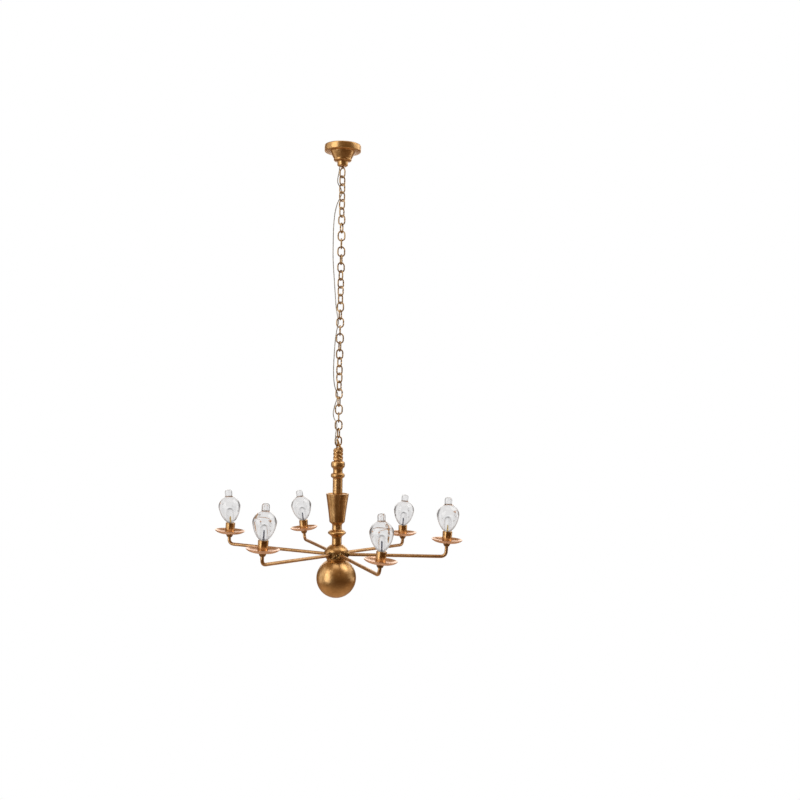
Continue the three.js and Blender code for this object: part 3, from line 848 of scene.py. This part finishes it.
GLOBE_SPIGOT = 0.6
GLOBE_BODY = [(1.12, 0), (1.36, 0.2), (1.98, 0.95), (2.62, 2.1), (3.02, 3.3), (3.27, 4.5), (3.24, 5.3),
              (2.88, 6.2), (2.27, 7.0), (1.66, 7.5), (1.08, 7.86)]
GLOBE_KNOB = [(1.06, 7.89), (1.07, 8.3), (1.09, 8.85), (1.06, 9.2), (0.95, 9.5), (0.74, 9.7), (0.4, 9.82)]
GLOBE_TOP = 9.85
LAMP_HOLLOW = [(1.06, 3.0), (1.08, 2.4), (1.02, 1.2), (0.9, 0.3), (0.86, 0)]
LAMP_DOME = 1.5  # how far the hollow's round top rises above its shoulder
LARGE_BUBBLES = {  # by globe: x, y, z and radius
    1: ((1.15, -1.2, 6.2, 0.32), (1.4, -1.0, 4.2, 0.26)),
    2: ((1.3, -0.9, 3.3, 0.22), (1.75, -0.6, 4.4, 0.2)),
    3: ((1.3, -0.9, 2.9, 0.2),),
    4: ((0.9, -1.1, 5.6, 0.18),),
    5: ((-1.5, -0.8, 5.5, 0.25), (0.9, -1.2, 4.9, 0.16)),
    6: ((-1.2, -1.0, 6.4, 0.24), (1.45, -0.9, 2.9, 0.2)),
}
SMALL_BUBBLES = 3
LAMP_PINS = (3.0, 2.3, 2.8, 2.8, 2.2, 3.1)  # from each globe's foot up to its pin's tip
GILT_PINS = (2, 5)


def globe_place(number):
    """A globe's own frame: the origin is the middle of its foot, which stands on the socket."""
    return node_place(f"globe_{number}") @ Matrix.Translation((0, 0, GLOBE_SPIGOT))


def add_globe(number, acrylic):
    """A clear globe with a hollow up its middle for the lamp, and a few air bubbles from the casting."""
    place = globe_place(number)
    outside = smooth_path(GLOBE_BODY, 0.16) + smooth_path(GLOBE_KNOB, 0.16) + [(0, GLOBE_TOP)]
    hollow_radius, hollow_shoulder = LAMP_HOLLOW[0]
    dome = arc(hollow_shoulder, hollow_radius, LAMP_DOME, 90, 90 / 16, 15)
    builder = bmesh.new()
    add_turned(builder, dome + smooth_path(LAMP_HOLLOW, 0.16) + outside, place, segments=112)
    bmesh.ops.recalc_face_normals(builder, faces=builder.faces)
    for x, y, z, size in LARGE_BUBBLES[number]:
        add_bubble(builder, place @ Matrix.Translation((x, y, z)), size, 1.3)
    random.seed(40 + number)
    for _ in range(SMALL_BUBBLES):
        angle, reach = random.uniform(0, math.pi), random.uniform(1.45, 2.2)
        centre = Vector((reach * math.cos(angle), reach * math.sin(angle), random.uniform(3.0, 6.0)))
        add_bubble(builder, place @ Matrix.Translation(centre), random.uniform(0.08, 0.16),
                   random.uniform(1.0, 1.7))
    finished_piece(f"globe_{number}_body", builder, acrylic, "fixture", [f"globe_{number}"],
                   turn_outwards=False)


def add_bubble(builder, place, size, stretch):
    """A closed pocket of air: its faces point inwards, out of the plastic."""
    place = place @ Matrix.Diagonal((1, 1, stretch, 1))
    made = bmesh.ops.create_icosphere(builder, subdivisions=2, radius=size, matrix=place)
    faces = {face for vertex in made["verts"] for face in vertex.link_faces}
    bmesh.ops.reverse_faces(builder, faces=list(faces))


def add_lamp(number, pin, ceramic):
    """The pale lamp base in the socket, and the pin that stands up from it into the globe's hollow."""
    base = [(0, 1.22), (0.98, 1.22), (1.05, 1.3), (1.05, 2.1), (0.98, 2.2), (0.5, 2.22), (0, 2.22)]
    turned(f"lamp_base_{number}", rounded(base, 0.04), ceramic, "fixture",
           place=cup_place(number), segments=48)
    tip = LAMP_PINS[number - 1]
    outline = [(0, -0.5), (0.21, -0.5), (0.23, -0.4), (0.23, tip - 0.5), (0.18, tip - 0.1), (0.08, tip),
               (0, tip)]
    turned(f"pin_{number}", rounded(outline, 0.05), pin, "fixture",
           place=globe_place(number), segments=28)


# ---- Stage ------------------------------------------------------------------------------------

WHITE = rgb(1, 1, 1)
FLOOR_Z, FLOOR_REACH = -0.45, 4.0
PAPER, SHADED_PAPER = rgb(0.74, 0.62, 0.5), rgb(0.3, 0.24, 0.18)
SHADE_START, SHADE_DEPTH = -0.35, 0.45  # where the paper starts to be lit, and how far on it is fully lit
FLOOR_THROUGH_GLASS = 0.83
ROOM, ROOM_TINT = 0.15, rgb(1.0, 0.62, 0.3)
BANDS_ROUND = 8.0  # soft darker bands in the surroundings that glass sees
CARD_BEARING, CARD_WIDTH, CARD_DARKNESS = 1.04, 0.3, 0.97
CARD_DISTANCE = 0.4  # where on the floor a dark card begins, and how far on it is fully dark


class Stage(Nodes):
    """The emptied node tree of the floor or the world."""

    def __init__(self, tree):
        super().__init__(tree)
        tree.nodes.clear()

    def coordinates(self, kind):
        return self.parts(self.add("ShaderNodeTexCoord").outputs[kind])

    def rays(self):
        """Whether a ray comes through glass, and whether it comes straight from the camera."""
        outputs = self.add("ShaderNodeLightPath").outputs
        return outputs["Is Transmission Ray"], outputs["Is Camera Ray"]

    def rising(self, value, start, span):
        """0 before start and 1 from the span after it on."""
        return self.over(self.minus(value, start), span, clamp=True)

    def falling(self, value, span):
        """1 at 0 and 0 from the span on."""
        return self.minus(1.0, self.over(value, span), clamp=True)

    def dark_cards(self, x, y, near):
        """How bright the surroundings stay for glass: a dark card stands at each side, behind the fixture."""
        bearing = self.math("ABSOLUTE", self.math("ARCTAN2", x, y))
        aside = self.math("ABSOLUTE", self.minus(bearing, CARD_BEARING))
        card = self.falling(aside, CARD_WIDTH)
        return self.minus(1.0, self.times(self.times(card, near), CARD_DARKNESS))


def floor_paper():
    """White where it is seen directly. Glass sees it a little greyer, and metal sees warm paper."""
    material = bpy.data.materials.new("floor_paper")
    material.use_nodes = True
    stage = Stage(material.node_tree)
    x, y, _ = stage.coordinates("Object")
    behind = stage.rising(y, SHADE_START, SHADE_DEPTH)
    paper = stage.add("ShaderNodeBsdfDiffuse")
    stage.feed(paper.inputs["Color"], stage.mix(behind, SHADED_PAPER, PAPER))
    distance = stage.math("SQRT", stage.plus(stage.times(x, x), stage.times(y, y)))
    far = stage.rising(distance, CARD_DISTANCE, CARD_DISTANCE)
    through_glass = stage.times(stage.dark_cards(x, y, far), FLOOR_THROUGH_GLASS)
    glass, camera = stage.rays()
    lit = stage.add("ShaderNodeEmission")
    stage.feed(lit.inputs["Strength"], stage.plus(1.0, stage.times(glass, stage.minus(through_glass, 1.0))))
    straight = stage.math("MAXIMUM", camera, glass)
    shade = stage.add("ShaderNodeMixShader")
    for socket, value in zip(shade.inputs, (straight, paper.outputs[0], lit.outputs[0])):
        stage.feed(socket, value)
    stage.feed(stage.add("ShaderNodeOutputMaterial").inputs["Surface"], shade.outputs[0])
    return material


def add_floor():
    mesh = bpy.data.meshes.new("floor")
    corners = [(x * FLOOR_REACH, y * FLOOR_REACH, FLOOR_Z) for x, y in ((-1, -1), (1, -1), (1, 1), (-1, 1))]
    mesh.from_pydata(corners, [], [(0, 1, 2, 3)])
    mesh.materials.append(floor_paper())
    floor = bpy.data.objects.new("floor", mesh)
    bpy.context.scene.collection.objects.link(floor)


def add_world():
    """White where it is seen directly. Glass sees white with soft darker bands, and metal a dim warm room."""
    world = bpy.data.worlds.new("studio")
    bpy.context.scene.world = world
    world.use_nodes = True
    stage = Stage(world.node_tree)
    x, y, z = stage.coordinates("Generated")
    stripes = stage.math("COSINE", stage.times(stage.math("ARCTAN2", x, y), BANDS_ROUND))
    bands = stage.plus(stage.times(stripes, 0.08), 0.85)
    steep = stage.math("MAXIMUM", stage.minus(stage.math("ABSOLUTE", z), 0.5), 0.0)
    level = stage.minus(1.0, stage.times(steep, 1.1))
    near_level = stage.falling(z, 0.25)
    through_glass = stage.times(stage.times(bands, level), stage.dark_cards(x, y, near_level))
    sky = stage.plus(ROOM, stage.times(stage.math("MAXIMUM", z, 0.0), 0.25))
    glass, camera = stage.rays()
    strength = stage.mix(camera, stage.mix(glass, sky, through_glass, "FLOAT"), 1.0, "FLOAT")
    background = stage.add("ShaderNodeBackground")
    stage.feed(background.inputs["Color"], stage.mix(stage.math("MAXIMUM", glass, camera), ROOM_TINT, WHITE))
    stage.feed(background.inputs["Strength"], strength)
    stage.feed(stage.add("ShaderNodeOutputWorld").inputs["Surface"], background.outputs[0])


LIGHT_TARGET = Vector((0, 0, -100 * MM))


def add_softbox(name, bearing, elevation, distance, size, radiance, tint=(1, 1, 1)):
    """A softbox that faces the fixture. bearing is in degrees, 0 at the camera's side and 90 at the right."""
    data = bpy.data.lights.new(name, "AREA")
    data.shape = "RECTANGLE"
    data.size, data.size_y = size
    data.energy = radiance * math.pi * size[0] * size[1]
    data.color = tint
    light = bpy.data.objects.new(name, data)
    bpy.context.scene.collection.objects.link(light)
    side, rise = math.radians(bearing), math.radians(elevation)
    away = Vector((math.sin(side) * math.cos(rise), -math.cos(side) * math.cos(rise), math.sin(rise)))
    light.location = LIGHT_TARGET + away * distance
    light.rotation_euler = away.to_track_quat("Z", "Y").to_euler()
    light.visible_camera = False
    light.visible_transmission = False


def add_lights():
    warm_white = (1, 0.98, 0.95)
    add_softbox("softbox_left", -54, 14, 0.5, (0.31, 0.62), 2.4, warm_white)
    add_softbox("fill_left", -100, 8, 0.5, (0.3, 0.6), 0.8)
    add_softbox("softbox_right", 92, 48, 0.5, (0.3, 0.3), 2.6, warm_white)
    add_softbox("fill_right", 94, 14, 0.5, (0.26, 0.36), 0.65)
    add_softbox("strip_right", 122, 24, 0.55, (0.22, 0.24), 1.6)
    add_softbox("strip_right_low", 112, -11, 0.55, (0.22, 0.06), 2.0)
    add_softbox("backdrop", 180, 14, 0.6, (0.62, 0.35), 1.45)
    add_softbox("softbox_top", 0, 80, 0.5, (0.3, 0.3), 1.0)


# ---- The whole scene --------------------------------------------------------------------------

add_camera()

turned_brass = antique_brass("turned_brass", GILT, GRAIN_TURNED, rough=(0.3, 0.44))
# painted shade: more tarnishing than the turned brass darkens the canopy, for the dim floor that its downward
# cone reflects
canopy_painted_shade_brass = antique_brass("canopy_painted_shade_brass", GILT, GRAIN_TURNED, tarnish_and_shade=0.65)
vase_brass = antique_brass("vase_brass", GILT, GRAIN_HAMMERED, grain_size=1.2, grain_depth=0.035)
ball_brass = antique_brass("ball_brass", GILT, GRAIN_BRUSHED, rough=(0.28, 0.4), grain_size=3.0,
                           grain_depth=0.02, tarnish_and_shade=0.45, edge_wear=0.0)
socket_brass = antique_brass("socket_brass", GILT, GRAIN_TURNED, rough=(0.2, 0.34), grain_size=1.2,
                             grain_depth=0.004, mottling=0.5)
arm_brass = antique_brass("arm_brass", ARM_GILT, GRAIN_HAMMERED, rough=(0.3, 0.42), grain_size=0.5,
                          grain_depth=0.002, mottling=0.5, edge_wear=0.0)
# painted shade: the collars under the pans get a darker brass for the pans' shadow
collar_painted_shade_brass = antique_brass("collar_painted_shade_brass", PAINTED_SHADE_GILT, GRAIN_TURNED, grain_size=1.2, grain_depth=0.004)
pan_brass = antique_brass("pan_brass", COPPERY, GRAIN_FLAT, rough=(0.27, 0.36), grain_size=1.0,
                          grain_depth=0.003, tarnish_and_shade=0.45, mottling=0.6, edge_wear=0.2)
links_brass = chain_brass()
acrylic = clear_acrylic()
solder_metal = solder()
ceramic = white_ceramic()
gold_pin = lamp_pin("gold_pin", (0.86, 0.6, 0.18), (0.5, 0.33, 0.1))
steel_pin = lamp_pin("steel_pin", (0.2, 0.215, 0.27), (0.07, 0.075, 0.1))

add_canopy(canopy_painted_shade_brass)
add_canopy_eye(links_brass)
add_links(links_brass)
add_feed_wire(tinned_wire())
add_stem_eye(turned_brass)
add_lashing(turned_brass)
add_bindings(turned_brass)
add_lashing_tail(turned_brass)
add_column(turned_brass)
add_baluster(vase_brass)
add_hub(turned_brass)
add_ball(ball_brass)
for number in ARMS:
    add_arm(number, arm_brass)
    add_cup(number, pan_brass, socket_brass, collar_painted_shade_brass)
    add_globe(number, acrylic)
    add_lamp(number, gold_pin if number in GILT_PINS else steel_pin, ceramic)
    add_solder(number, solder_metal)
add_solder_ring(solder_metal)

add_floor()
add_world()
add_lights()
bpy.context.scene.view_settings.view_transform = "Standard"
